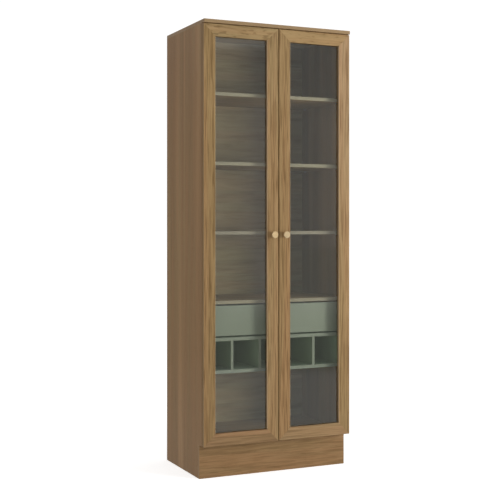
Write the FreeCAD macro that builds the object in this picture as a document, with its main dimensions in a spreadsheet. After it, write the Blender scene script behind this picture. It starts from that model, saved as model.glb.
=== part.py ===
import FreeCAD, Part
import os

import Sketcher

# Glazed bookcase: a 2 m oak-veneer carcase on a recessed plinth, two mitred
# and glazed full-overlay doors on concealed hinges, four shelves, one drawer
# and a five-cubby insert.
#
# Working frame used by the sizes: x runs right from the outer face of the
# left side panel, y runs back from the front edge of the top panel, z runs up
# from the floor.  Every sub-part's Placement moves that frame so that the
# origin lies on the floor, under the middle of the whole object.

V = FreeCAD.Vector
doc = FreeCAD.newDocument("GlazedBookcase")

# --------------------------------------------------------------------------
# Driving sizes, in millimetres
# --------------------------------------------------------------------------
SIZES = [
    ("width", 722.0, "outer width, side face to side face"),
    ("depth", 468.0, "front edge of the top panel to the rear edges"),
    ("height", 2000.0, "floor to the top face"),
    ("centre_y", 224.5, "middle of the depth with the knobs included"),
    ("board", 15.0, "carcase and shelf board thickness"),
    ("plinth_top", 146.5, "top of the plinth boards, underside of the bottom panel"),
    ("plinth_set", 57.8, "plinth front, back from the top panel's front edge"),
    ("plinth_rear", 430.0, "front face of the rear plinth board"),
    ("side_front", 26.5, "front edges of the sides and the bottom panel"),
    ("bay", 306.4, "pitch of the shelf boards"),
    ("shelf_front", 60.0, "front edges of the shelves"),
    ("shelf_play", 0.75, "gap at each end of a loose shelf"),
    ("shelf_rear", 448.5, "rear edges of the loose shelves"),
    ("back_front", 450.0, "front face of the back panel"),
    ("back_thick", 6.0, "back panel thickness"),
    ("back_in", 6.0, "how far the back panel enters its grooves"),
    ("groove_wide", 6.4, "groove width for the back panel"),
    ("groove_deep", 7.0, "groove depth for the back panel"),
    ("stud_rad", 2.45, "shelf pin radius"),
    ("stud_hole", 2.5, "shelf pin hole radius"),
    ("stud_in", 8.0, "shelf pin length in the side panel, and out of it"),
    ("stud_front", 100.0, "front row of shelf pins"),
    ("stud_rear", 410.0, "rear row of shelf pins"),
    ("dowel_rad", 2.95, "dowel radius"),
    ("dowel_hole", 3.0, "dowel hole radius"),
    ("dowel_side", 9.0, "dowel length in the side panel"),
    ("dowel_board", 20.0, "dowel length in the mating board"),
    ("cam_rad", 7.4, "cam lock radius"),
    ("cam_hole", 7.5, "cam lock bore radius"),
    ("cam_deep", 12.0, "cam lock bore depth"),
    ("cam_tall", 11.5, "cam lock height"),
    ("cam_in", 34.0, "cam lock centre from the board's end"),
    ("bolt_rad", 2.45, "cam bolt radius"),
    ("bolt_hole", 2.5, "cam bolt hole radius in the side panel"),
    ("bolt_side", 11.0, "cam bolt length in the side panel"),
    ("bolt_way", 3.5, "cam bolt clearance hole radius in the board's end"),
    # doors
    ("door_front", 6.0, "door front face, back from the top panel's front edge"),
    ("door_thick", 18.0, "door thickness"),
    ("door_low", 147.6, "lower edge of the doors"),
    ("door_high", 1982.0, "upper edge of the doors"),
    ("door_gap", 4.0, "gap between the two doors"),
    ("member", 54.5, "width of the door's stiles and rails"),
    ("lip", 11.0, "door frame in front of the glass"),
    ("rebate", 8.0, "width of the rebate that takes the glass"),
    ("glass_thick", 4.0, "glass thickness"),
    ("glass_play", 0.5, "gap round the glass in its rebate"),
    ("bead_wide", 7.0, "glazing bead width"),
    ("bead_thick", 3.0, "glazing bead thickness"),
    ("back_arris", 2.0, "chamfer on the door's rear outer edge, for swing room"),
    # knobs
    ("knob_rad", 15.0, "knob radius"),
    ("knob_out", 25.0, "knob height from the door face"),
    ("knob_head", 9.0, "thickness of the knob's head"),
    ("knob_stem", 7.0, "radius of the knob's stem"),
    ("knob_mid", 1065.0, "height of the knobs"),
    ("knob_tap", 2.0, "radius of the tapped hole in the knob"),
    ("knob_tap_deep", 12.0, "depth of the tapped hole in the knob"),
    ("knob_round", 1.2, "rounding of the knob's rim"),
    ("screw_rad", 1.95, "knob screw radius"),
    ("screw_way", 2.2, "knob screw hole radius in the stile"),
    ("screw_head", 4.0, "knob screw head radius"),
    ("screw_head_tall", 2.2, "knob screw head height"),
    # concealed hinges
    ("pivot_x", 8.2, "hinge pin, in from the door's outer edge"),
    ("pivot_y", 15.6, "hinge pin, back from the top panel's front edge"),
    ("pivot_rad", 1.0, "hinge pin radius"),
    ("pivot_half", 8.0, "half the hinge pin length"),
    ("eye_rad", 1.9, "radius of the arm's eye"),
    ("eye_hole", 1.05, "bore of the arm's eye"),
    ("eye_half", 5.2, "half the width of the arm's eye"),
    ("cup_x", 21.7, "hinge cup centre, in from the door's outer edge"),
    ("cup_rad", 17.4, "hinge cup radius"),
    ("cup_bore", 17.5, "cup bore radius in the stile"),
    ("cup_in", 16.7, "hinge cup inner radius"),
    ("cup_deep", 11.5, "hinge cup depth"),
    ("cup_skin", 0.8, "hinge cup wall at its base"),
    ("flange_thick", 1.2, "hinge cup flange thickness"),
    ("flange_half", 26.0, "half the length of the cup flange"),
    ("cup_screw_z", 24.0, "cup screws above and below the cup centre"),
    ("arm_x", 19.1, "inner face of the hinge arm"),
    ("arm_thick", 2.0, "hinge arm thickness"),
    ("arm_low_y", 13.7, "front of the arm, inside the cup"),
    ("arm_end", 76.0, "rear end of the hinge arm"),
    ("plate_y", 63.5, "mounting plate's screw line"),
    ("plate_wing", 1.8, "mounting plate thickness at its wings"),
    ("plate_screw_z", 16.0, "plate screws above and below the arm"),
    ("hinge_one", 262.0, "height of the lowest hinge"),
    ("hinge_two", 880.0, "height of the second hinge"),
    ("hinge_three", 1480.0, "height of the third hinge"),
    ("hinge_four", 1884.0, "height of the top hinge"),
    # cubby insert
    ("cubby_front", 62.0, "front of the cubby insert and of the drawer"),
    ("cubby_rear", 440.0, "rear of the cubby insert"),
    ("cubby_play", 1.0, "gap between the insert and the side panels"),
    ("cubby_board", 15.0, "cubby top and bottom thickness"),
    ("cubby_side", 12.0, "cubby side and divider thickness"),
    ("cubby_open", 128.0, "height of the cubby openings"),
    ("dado", 4.0, "depth of the grooves that hold the dividers"),
    ("dado_play", 0.1, "play each side of a divider in its groove"),
    # drawer
    ("face_thick", 15.0, "drawer front thickness"),
    ("face_play", 3.0, "gap each side of the drawer front"),
    ("face_low", 618.4, "lower edge of the drawer front"),
    ("face_high", 752.0, "upper edge of the drawer front"),
    ("box_low", 632.0, "lower edge of the drawer sides"),
    ("box_high", 728.0, "upper edge of the drawer sides"),
    ("box_wall", 12.0, "drawer side and back thickness"),
    ("box_rear", 427.0, "rear of the drawer box"),
    ("box_floor", 638.0, "underside of the drawer bottom"),
    ("floor_thick", 5.0, "drawer bottom thickness"),
    ("floor_in", 5.0, "how far the drawer bottom enters its grooves"),
    ("slide_wide", 12.7, "room for a runner on each side"),
    ("runner_mid", 683.0, "height of the drawer runners"),
    ("runner_half", 17.5, "half the height of the fixed rail"),
    ("runner_skin", 1.5, "steel thickness of the runners"),
    ("runner_wide", 9.0, "width of the fixed rail"),
    ("runner_front", 80.0, "front end of the fixed rail"),
    ("runner_rear", 430.0, "rear end of the fixed rail"),
    ("slide_half", 15.6, "half the height of the moving slide"),
    ("slide_out", 8.7, "width of the moving slide"),
    # wall brackets
    ("bracket_off", 221.0, "wall brackets, each side of the middle"),
    ("bracket_half", 10.0, "half the width of a wall bracket"),
    ("bracket_leg", 28.0, "leg length of a wall bracket"),
    ("bracket_thick", 2.0, "wall bracket thickness"),
    ("bracket_hole", 2.75, "wall screw hole radius in the bracket"),
    ("bracket_drop", 18.0, "wall screw hole below the top panel"),
    ("wall_way", 3.2, "wall screw hole radius in the back panel"),
    # bumpers
    ("bumper_rad", 4.0, "door bumper radius"),
    ("bumper_tall", 2.2, "door bumper thickness"),
]


class Size:
    """A size that knows its value and the expression that drives it."""

    def __init__(self, value, text):
        self.v = float(value)
        self.t = text

    def __add__(self, other):
        o = as_size(other)
        return Size(self.v + o.v, "(%s + %s)" % (self.t, o.t))

    def __radd__(self, other):
        return as_size(other) + self

    def __sub__(self, other):
        o = as_size(other)
        return Size(self.v - o.v, "(%s - %s)" % (self.t, o.t))

    def __rsub__(self, other):
        return as_size(other) - self

    def __mul__(self, other):
        o = as_size(other)
        return Size(self.v * o.v, "(%s * %s)" % (self.t, o.t))

    def __rmul__(self, other):
        return as_size(other) * self

    def __truediv__(self, other):
        o = as_size(other)
        return Size(self.v / o.v, "(%s / %s)" % (self.t, o.t))


def as_size(value):
    if isinstance(value, Size):
        return value
    return Size(value, "(%.6f)" % value if value < 0 else "%.6f" % value)


class Table:
    """The spreadsheet's cells by their aliases."""


sheet = doc.addObject("Spreadsheet::Sheet", "Sizes")
sheet.set("A1", "alias")
sheet.set("B1", "millimetres")
sheet.set("C1", "meaning")
T = Table()
for row, (alias, value, meaning) in enumerate(SIZES, start=2):
    sheet.set("A%d" % row, alias)
    sheet.set("B%d" % row, repr(value))
    sheet.setAlias("B%d" % row, alias)
    sheet.set("C%d" % row, meaning)
    setattr(T, alias, Size(value, "Sizes." + alias))
doc.recompute()

NODES = []          # the exported sub-parts, in order
XY, XZ, YZ = "XY_Plane", "XZ_Plane", "YZ_Plane"


# --------------------------------------------------------------------------
# Helpers
# --------------------------------------------------------------------------
def bind(obj, prop, size):
    obj.setExpression(prop, as_size(size).t)


def keep(obj, label):
    """Give a finished sub-part its name and put it on the export list."""
    obj.Label = label
    if obj.Label != label:
        raise RuntimeError("label %s is taken" % label)
    NODES.append(obj)
    return obj


def set_frame(obj, x=0.0, y=0.0, z=0.0, rotation=None):
    """Place an object at x, y, z of the working frame."""
    px = as_size(x) - T.width / 2
    py = as_size(y) - T.centre_y
    pz = as_size(z)
    obj.Placement = FreeCAD.Placement(V(px.v, py.v, pz.v), rotation or FreeCAD.Rotation())
    bind(obj, "Placement.Base.x", px)
    bind(obj, "Placement.Base.y", py)
    bind(obj, "Placement.Base.z", pz)


def body(label, x=0.0, y=0.0, z=0.0):
    b = doc.addObject("PartDesign::Body", label)
    keep(b, label)
    set_frame(b, x, y, z)
    return b


def sketch(b, role, loops=(), circles=(), lift=0.0):
    """A fully constrained sketch on one of the body's own origin planes."""
    sk = b.newObject("Sketcher::SketchObject", "Profile")
    plane = [f for f in b.Origin.OriginFeatures if f.Role == role][0]
    sk.AttachmentSupport = [(plane, "")]
    sk.MapMode = "FlatFace"
    lift = as_size(lift)
    sk.AttachmentOffset = FreeCAD.Placement(V(0, 0, lift.v), FreeCAD.Rotation())
    sk.setExpression("AttachmentOffset.Base.z", lift.t)
    for loop in loops:
        pts = [(as_size(px), as_size(py)) for px, py in loop]
        first = sk.GeometryCount
        count = len(pts)
        for i in range(count):
            ax, ay = pts[i]
            bx, by = pts[(i + 1) % count]
            sk.addGeometry(Part.LineSegment(V(ax.v, ay.v, 0), V(bx.v, by.v, 0)), False)
        for i in range(count):
            sk.addConstraint(Sketcher.Constraint("Coincident", first + i, 2, first + (i + 1) % count, 1))
        for i, (px, py) in enumerate(pts):
            c = sk.addConstraint(Sketcher.Constraint("DistanceX", -1, 1, first + i, 1, px.v))
            sk.setExpression("Constraints[%d]" % c, px.t)
            c = sk.addConstraint(Sketcher.Constraint("DistanceY", -1, 1, first + i, 1, py.v))
            sk.setExpression("Constraints[%d]" % c, py.t)
    for cx, cy, rad in circles:
        cx, cy, rad = as_size(cx), as_size(cy), as_size(rad)
        g = sk.addGeometry(Part.Circle(V(cx.v, cy.v, 0), V(0, 0, 1), rad.v), False)
        c = sk.addConstraint(Sketcher.Constraint("DistanceX", -1, 1, g, 3, cx.v))
        sk.setExpression("Constraints[%d]" % c, cx.t)
        c = sk.addConstraint(Sketcher.Constraint("DistanceY", -1, 1, g, 3, cy.v))
        sk.setExpression("Constraints[%d]" % c, cy.t)
        c = sk.addConstraint(Sketcher.Constraint("Radius", g, rad.v))
        sk.setExpression("Constraints[%d]" % c, rad.t)
    return sk


def rect(ax, ay, bx, by):
    return [(ax, ay), (bx, ay), (bx, by), (ax, by)]


def pad(b, role, loop, start, end, circles=()):
    """A pad from start to end along the axis that the plane faces."""
    start, end = as_size(start), as_size(end)
    if role == XZ:                      # this plane's normal is -y
        sk = sketch(b, role, [loop] if loop else [], circles, as_size(0.0) - start)
        back = True
    else:
        sk = sketch(b, role, [loop] if loop else [], circles, start)
        back = False
    f = b.newObject("PartDesign::Pad", "Pad")
    f.Profile = sk
    f.Length = end.v - start.v
    bind(f, "Length", end - start)
    f.Reversed = back
    doc.recompute()
    return f


def pocket(b, role, start, end, loops=(), circles=()):
    """Cut the body from start to end along the axis that the plane faces."""
    start, end = as_size(start), as_size(end)
    before = b.Shape.Volume
    if role == XZ:
        sk = sketch(b, role, loops, circles, as_size(0.0) - start)
        forward = False
    else:
        sk = sketch(b, role, loops, circles, start)
        forward = True
    f = b.newObject("PartDesign::Pocket", "Pocket")
    f.Profile = sk
    f.Length = end.v - start.v
    bind(f, "Length", end - start)
    f.Reversed = forward
    doc.recompute()
    taken = before - f.Shape.Volume
    if not taken > 0.5:
        raise RuntimeError("a pocket in %s cuts nothing" % b.Label)
    return f


def block(label, x0, y0, z0, x1, y1, z1, exported=True):
    o = doc.addObject("Part::Box", label if exported else label + "_block")
    x0, y0, z0, x1, y1, z1 = [as_size(q) for q in (x0, y0, z0, x1, y1, z1)]
    bind(o, "Length", x1 - x0)
    bind(o, "Width", y1 - y0)
    bind(o, "Height", z1 - z0)
    set_frame(o, x0, y0, z0)
    if exported:
        keep(o, label)
    return o


TURN = {"z": FreeCAD.Rotation(),
        "x": FreeCAD.Rotation(V(0, 1, 0), 90),
        "y": FreeCAD.Rotation(V(1, 0, 0), -90)}


def rod(name, axis, x, y, z, radius, length):
    """A cylinder that starts at x, y, z and runs along +axis."""
    o = doc.addObject("Part::Cylinder", name)
    bind(o, "Radius", radius)
    bind(o, "Height", length)
    set_frame(o, x, y, z, TURN[axis])
    return o


def joined(name, shapes):
    o = doc.addObject("Part::MultiFuse", name)
    o.Shapes = shapes
    return o


def minus(name, base, tool):
    o = doc.addObject("Part::Cut", name)
    o.Base = base
    o.Tool = tool
    return o


def group(label, shapes):
    """Identical pieces that stay separate solids under one name."""
    o = doc.addObject("Part::Compound", label)
    o.Links = shapes
    return keep(o, label)


# --------------------------------------------------------------------------
# Derived sizes
# --------------------------------------------------------------------------
inner_l = T.board                          # inner face of the left side
inner_r = T.width - T.board                # inner face of the right side
top_low = T.height - T.board               # underside of the top panel
low_mid = T.plinth_top + T.board / 2       # middle of the bottom panel
cubby_mid = low_mid + T.bay                # middle of the cubby's bottom
fixed_mid = low_mid + T.bay * 2            # middle of the fixed shelf
shelf_mids = [("shelf_lower", low_mid + T.bay * 3),
              ("shelf_middle", low_mid + T.bay * 4),
              ("shelf_upper", low_mid + T.bay * 5)]
cubby_low = cubby_mid - T.cubby_board / 2
cubby_in_low = cubby_low + T.cubby_board
cubby_in_high = cubby_in_low + T.cubby_open
cubby_high = cubby_in_high + T.cubby_board
pin_heights = [cubby_low - T.stud_hole] + [mid - T.board / 2 - T.stud_hole for _, mid in shelf_mids]
hinge_heights = [T.hinge_one, T.hinge_two, T.hinge_three, T.hinge_four]
groove_front = T.back_front + T.back_thick / 2 - T.groove_wide / 2
groove_rear = groove_front + T.groove_wide

# fastening points: (y, z) of dowels and of cam bolts that enter the sides
bottom_dowels = [(as_size(56.0), low_mid), (as_size(428.0), low_mid)]
bottom_bolts = [(as_size(120.0), low_mid), (as_size(372.0), low_mid)]
fixed_dowels = [(as_size(90.0), fixed_mid), (as_size(428.0), fixed_mid)]
fixed_bolts = [(as_size(140.0), fixed_mid), (as_size(372.0), fixed_mid)]
rear_y = T.plinth_rear + T.board / 2
plinth_dowels = [(rear_y, as_size(28.0)), (rear_y, as_size(118.0))]
plinth_bolts = [(rear_y, as_size(73.0))]
lap_y = T.plinth_set + T.board              # the front plinth's rear face, laid on the sides' front edges
lap_dowels_z = [as_size(28.0), as_size(118.0)]
lap_bolt_z = as_size(73.0)
top_dowels_y = [as_size(80.0), as_size(240.0), as_size(400.0)]
top_dowel_up = 8.0
top_dowel_down = 22.0


def mirrored(x, right):
    return T.width - x if right else as_size(x)


# --------------------------------------------------------------------------
# Carcase
# --------------------------------------------------------------------------
def side_panel(label, right):
    b = body(label)
    outline = [(lap_y, 0), (T.depth, 0), (T.depth, top_low),
               (T.side_front, top_low), (T.side_front, T.plinth_top), (lap_y, T.plinth_top)]
    start = inner_r if right else as_size(0.0)
    pad(b, YZ, outline, start, start + T.board)

    def from_inside(deep):
        return (inner_r, inner_r + deep) if right else (inner_l - deep, inner_l)

    # groove for the back panel, open at the bottom and the top
    s, e = from_inside(T.groove_deep)
    pocket(b, YZ, s, e, loops=[rect(groove_front, 0, groove_rear, top_low)])
    # shelf pin holes
    s, e = from_inside(T.stud_in + 0.2)
    pocket(b, YZ, s, e, circles=[(y, z, T.stud_hole) for z in pin_heights for y in (T.stud_front, T.stud_rear)])
    # cam bolt holes and hinge plate screw holes
    s, e = from_inside(T.bolt_side)
    holes = [(y, z, T.bolt_hole) for y, z in bottom_bolts + fixed_bolts + plinth_bolts]
    holes += [(T.plate_y, z + T.plate_screw_z * k, T.bolt_hole) for z in hinge_heights for k in (-1, 1)]
    pocket(b, YZ, s, e, circles=holes)
    # dowel holes
    s, e = from_inside(T.dowel_side + 0.3)
    pocket(b, YZ, s, e, circles=[(y, z, T.dowel_hole) for y, z in bottom_dowels + fixed_dowels + plinth_dowels])
    mid = mirrored(T.board / 2, right)
    pocket(b, XY, top_low - top_dowel_down - 0.5, top_low, circles=[(mid, y, T.dowel_hole) for y in top_dowels_y])
    # the front plinth's fastenings, in the lower front edge, with the cam bore on the inner face
    pocket(b, XZ, lap_y, lap_y + T.dowel_board + 0.5, circles=[(mid, z, T.dowel_hole) for z in lap_dowels_z])
    pocket(b, XZ, lap_y, lap_y + T.cam_in, circles=[(mid, lap_bolt_z, T.bolt_way)])
    s, e = from_inside(T.cam_deep)
    pocket(b, YZ, s, e, circles=[(lap_y + T.cam_in, lap_bolt_z, T.cam_hole)])
    return b


side_panel("side_panel_left", False)
side_panel("side_panel_right", True)

top = body("top_panel")
pad(top, XY, rect(0, 0, T.width, T.depth), top_low, T.height)
pocket(top, XY, top_low, top_low + T.groove_deep,
       loops=[rect(inner_l - T.groove_deep, groove_front, inner_r + T.groove_deep, groove_rear)])
pocket(top, XY, top_low, top_low + top_dowel_up + 0.5,
       circles=[(x, y, T.dowel_hole) for x in (T.board / 2, T.width - T.board / 2) for y in top_dowels_y])


def cam_board(label, low, front, rear, dowels, bolts):
    """A horizontal board fastened at both ends by dowels and cam locks."""
    b = body(label)
    pad(b, XY, rect(inner_l, front, inner_r, rear), low, low + T.board)
    pocket(b, XY, low, low + T.cam_deep,
           circles=[(x, y, T.cam_hole) for x in (inner_l + T.cam_in, inner_r - T.cam_in) for y, z in bolts])
    for s, e in ((inner_l, inner_l + T.cam_in), (inner_r - T.cam_in, inner_r)):
        pocket(b, YZ, s, e, circles=[(y, z, T.bolt_way) for y, z in bolts])
    for s, e in ((inner_l, inner_l + T.dowel_board + 0.5), (inner_r - T.dowel_board - 0.5, inner_r)):
        pocket(b, YZ, s, e, circles=[(y, z, T.dowel_hole) for y, z in dowels])
    return b


cam_board("bottom_panel", T.plinth_top, T.side_front, T.back_front, bottom_dowels, bottom_bolts)
cam_board("fixed_shelf", fixed_mid - T.board / 2, T.shelf_front, T.back_front, fixed_dowels, fixed_bolts)


# front plinth: as wide as the bookcase, laid on the lower front edges of the sides
b = body("plinth_front")
lap_x = (T.board / 2, T.width - T.board / 2)
pad(b, XZ, rect(0, 0, T.width, T.plinth_top), T.plinth_set, lap_y)
pocket(b, XZ, lap_y - T.dowel_side - 0.3, lap_y, circles=[(x, z, T.dowel_hole) for x in lap_x for z in lap_dowels_z])
pocket(b, XZ, lap_y - T.bolt_side, lap_y, circles=[(x, lap_bolt_z, T.bolt_hole) for x in lap_x])

# rear plinth: between the sides, its cam locks on the hidden inner face
b = body("plinth_rear")
pad(b, XZ, rect(inner_l, 0, inner_r, T.plinth_top), T.plinth_rear, T.plinth_rear + T.board)
pocket(b, XZ, T.plinth_rear, T.plinth_rear + T.cam_deep,
       circles=[(x, 73.0, T.cam_hole) for x in (inner_l + T.cam_in, inner_r - T.cam_in)])
for s, e in ((inner_l, inner_l + T.cam_in), (inner_r - T.cam_in, inner_r)):
    pocket(b, YZ, s, e, circles=[(rear_y, 73.0, T.bolt_way)])
for s, e in ((inner_l, inner_l + T.dowel_board + 0.5), (inner_r - T.dowel_board - 0.5, inner_r)):
    pocket(b, YZ, s, e, circles=[(rear_y, z, T.dowel_hole) for z in (28.0, 118.0)])

back = body("back_panel")
pad(back, XZ, rect(inner_l - T.back_in, T.plinth_top, inner_r + T.back_in, top_low + T.back_in),
    T.back_front, T.back_front + T.back_thick)
pocket(back, XZ, T.back_front, T.back_front + T.back_thick,
       circles=[(T.width / 2 + T.bracket_off * k, top_low - T.bracket_drop, T.wall_way) for k in (-1, 1)])

for name, mid in shelf_mids:
    block(name, inner_l + T.shelf_play, T.shelf_front, mid - T.board / 2,
          inner_r - T.shelf_play, T.shelf_rear, mid + T.board / 2)

pins = []
for z in pin_heights:
    for y in (T.stud_front, T.stud_rear):
        pins.append(rod("pin", "x", inner_l - T.stud_in, y, z, T.stud_rad, T.stud_in * 2))
        pins.append(rod("pin", "x", inner_r - T.stud_in, y, z, T.stud_rad, T.stud_in * 2))
group("shelf_pins", pins)

dowels = []
for y, z in bottom_dowels + fixed_dowels + plinth_dowels:
    long = T.dowel_side + T.dowel_board
    dowels.append(rod("dowel", "x", inner_l - T.dowel_side, y, z, T.dowel_rad, long))
    dowels.append(rod("dowel", "x", inner_r - T.dowel_board, y, z, T.dowel_rad, long))
for y in top_dowels_y:
    for x in (T.board / 2, T.width - T.board / 2):
        dowels.append(rod("dowel", "z", x, y, top_low - top_dowel_down, T.dowel_rad, top_dowel_down + top_dowel_up))
for z in lap_dowels_z:
    for x in lap_x:
        dowels.append(rod("dowel", "y", x, lap_y - T.dowel_side, z, T.dowel_rad, T.dowel_side + T.dowel_board))
group("dowels", dowels)

bolts = []
bolt_long = T.bolt_side + T.cam_in - T.cam_rad - 0.1
for y, z in bottom_bolts + fixed_bolts + plinth_bolts:
    bolts.append(rod("bolt", "x", inner_l - T.bolt_side, y, z, T.bolt_rad, bolt_long))
    bolts.append(rod("bolt", "x", inner_r + T.bolt_side - bolt_long, y, z, T.bolt_rad, bolt_long))
for x in lap_x:
    bolts.append(rod("bolt", "y", x, lap_y - T.bolt_side, lap_bolt_z, T.bolt_rad, bolt_long))
group("cam_bolts", bolts)

cams = []
for x in (inner_l + T.cam_in, inner_r - T.cam_in):
    for y, z in bottom_bolts + fixed_bolts:
        cams.append(rod("cam", "z", x, y, z - T.board / 2, T.cam_rad, T.cam_tall))
    cams.append(rod("cam", "y", x, T.plinth_rear, 73.0, T.cam_rad, T.cam_tall))
for x in (inner_l - T.cam_tall, inner_r):
    cams.append(rod("cam", "x", x, lap_y + T.cam_in, lap_bolt_z, T.cam_rad, T.cam_tall))
group("cam_locks", cams)

# --------------------------------------------------------------------------
# Cubby insert
# --------------------------------------------------------------------------
cub_l = inner_l + T.cubby_play
cub_r = inner_r - T.cubby_play
cub_in_l = cub_l + T.cubby_side
cub_in_r = cub_r - T.cubby_side
cell = (cub_in_r - cub_in_l - T.cubby_side * 4) / 5
divider_x = [cub_in_l + cell * (i + 1) + T.cubby_side * i for i in range(4)]
cub_back_front = T.cubby_rear - 6.0
dados = [rect(x - T.dado_play, T.cubby_front, x + T.cubby_side + T.dado_play, cub_back_front) for x in divider_x]

cub_top = body("cubby_top")
pad(cub_top, XY, rect(cub_l, T.cubby_front, cub_r, T.cubby_rear), cubby_in_high, cubby_high)
pocket(cub_top, XY, cubby_in_high, cubby_in_high + T.dado, loops=dados)
cub_low = body("cubby_bottom")
pad(cub_low, XY, rect(cub_l, T.cubby_front, cub_r, T.cubby_rear), cubby_low, cubby_in_low)
pocket(cub_low, XY, cubby_in_low - T.dado, cubby_in_low, loops=dados)
block("cubby_side_left", cub_l, T.cubby_front, cubby_in_low, cub_in_l, T.cubby_rear, cubby_in_high)
block("cubby_side_right", cub_in_r, T.cubby_front, cubby_in_low, cub_r, T.cubby_rear, cubby_in_high)
block("cubby_back", cub_in_l, cub_back_front, cubby_in_low, cub_in_r, T.cubby_rear, cubby_in_high)
for i, x in enumerate(divider_x, start=1):
    block("cubby_divider_%d" % i, x, T.cubby_front, cubby_in_low - T.dado + 0.1,
          x + T.cubby_side, cub_back_front, cubby_in_high + T.dado - 0.1)

# --------------------------------------------------------------------------
# Drawer: face, two sides, back, bottom, and a steel slide on each side
# --------------------------------------------------------------------------
box_l = inner_l + T.slide_wide
box_r = inner_r - T.slide_wide
face_rear = T.cubby_front + T.face_thick
floor_high = T.box_floor + T.floor_thick
slot_low = T.box_floor - 0.1
slot_high = floor_high + 0.1
floor_l = box_l + T.box_wall - T.floor_in
floor_r = box_r - T.box_wall + T.floor_in

face = body("drawer_front")
pad(face, XZ, rect(inner_l + T.face_play, T.face_low, inner_r - T.face_play, T.face_high),
    T.cubby_front, face_rear)
pocket(face, XZ, face_rear - T.floor_in - 0.3, face_rear,
       loops=[rect(floor_l - 0.3, slot_low, floor_r + 0.3, slot_high)])


def drawer_side(label, right):
    b = body(label)
    start = box_r - T.box_wall if right else box_l
    pad(b, YZ, rect(face_rear, T.box_low, T.box_rear, T.box_high), start, start + T.box_wall)
    if right:
        s, e = start, start + T.floor_in + 0.3
    else:
        s, e = start + T.box_wall - T.floor_in - 0.3, start + T.box_wall
    pocket(b, YZ, s, e, loops=[rect(face_rear, slot_low, T.box_rear, slot_high)])
    return b


drawer_side("drawer_side_left", False)
drawer_side("drawer_side_right", True)
block("drawer_back", box_l + T.box_wall, T.box_rear - T.box_wall, slot_high,
      box_r - T.box_wall, T.box_rear, T.box_high)
block("drawer_bottom", floor_l, face_rear - T.floor_in, T.box_floor, floor_r, T.box_rear, floor_high)


def channel(name, x_web, x_lip, half, y0, y1):
    """A steel channel whose web is at x_web and whose lips end at x_lip."""
    lo, hi = (x_web, x_lip) if x_web.v < x_lip.v else (x_lip, x_web)
    outer = block(name, lo, y0, T.runner_mid - half, hi, y1, T.runner_mid + half, exported=False)
    if x_web.v < x_lip.v:
        hollow_lo, hollow_hi = lo + T.runner_skin, hi + 1.0
    else:
        hollow_lo, hollow_hi = lo - 1.0, hi - T.runner_skin
    hollow = block(name, hollow_lo, y0 - 1.0, T.runner_mid - half + T.runner_skin,
                   hollow_hi, y1 + 1.0, T.runner_mid + half - T.runner_skin, exported=False)
    return minus(name, outer, hollow)


group("drawer_runners", [
    channel("rail", inner_l, inner_l + T.runner_wide, T.runner_half, T.runner_front, T.runner_rear),
    channel("rail", inner_r, inner_r - T.runner_wide, T.runner_half, T.runner_front, T.runner_rear)])
group("drawer_slides", [
    channel("slide", box_l, box_l - T.slide_out, T.slide_half, T.runner_front, T.box_rear),
    channel("slide", box_r, box_r + T.slide_out, T.slide_half, T.runner_front, T.box_rear)])

# --------------------------------------------------------------------------
# Doors
# --------------------------------------------------------------------------
door_rear = T.door_front + T.door_thick
glass_front = T.door_front + T.lip
leaf_wide = (T.width - T.door_gap) / 2      # width of one door


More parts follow.
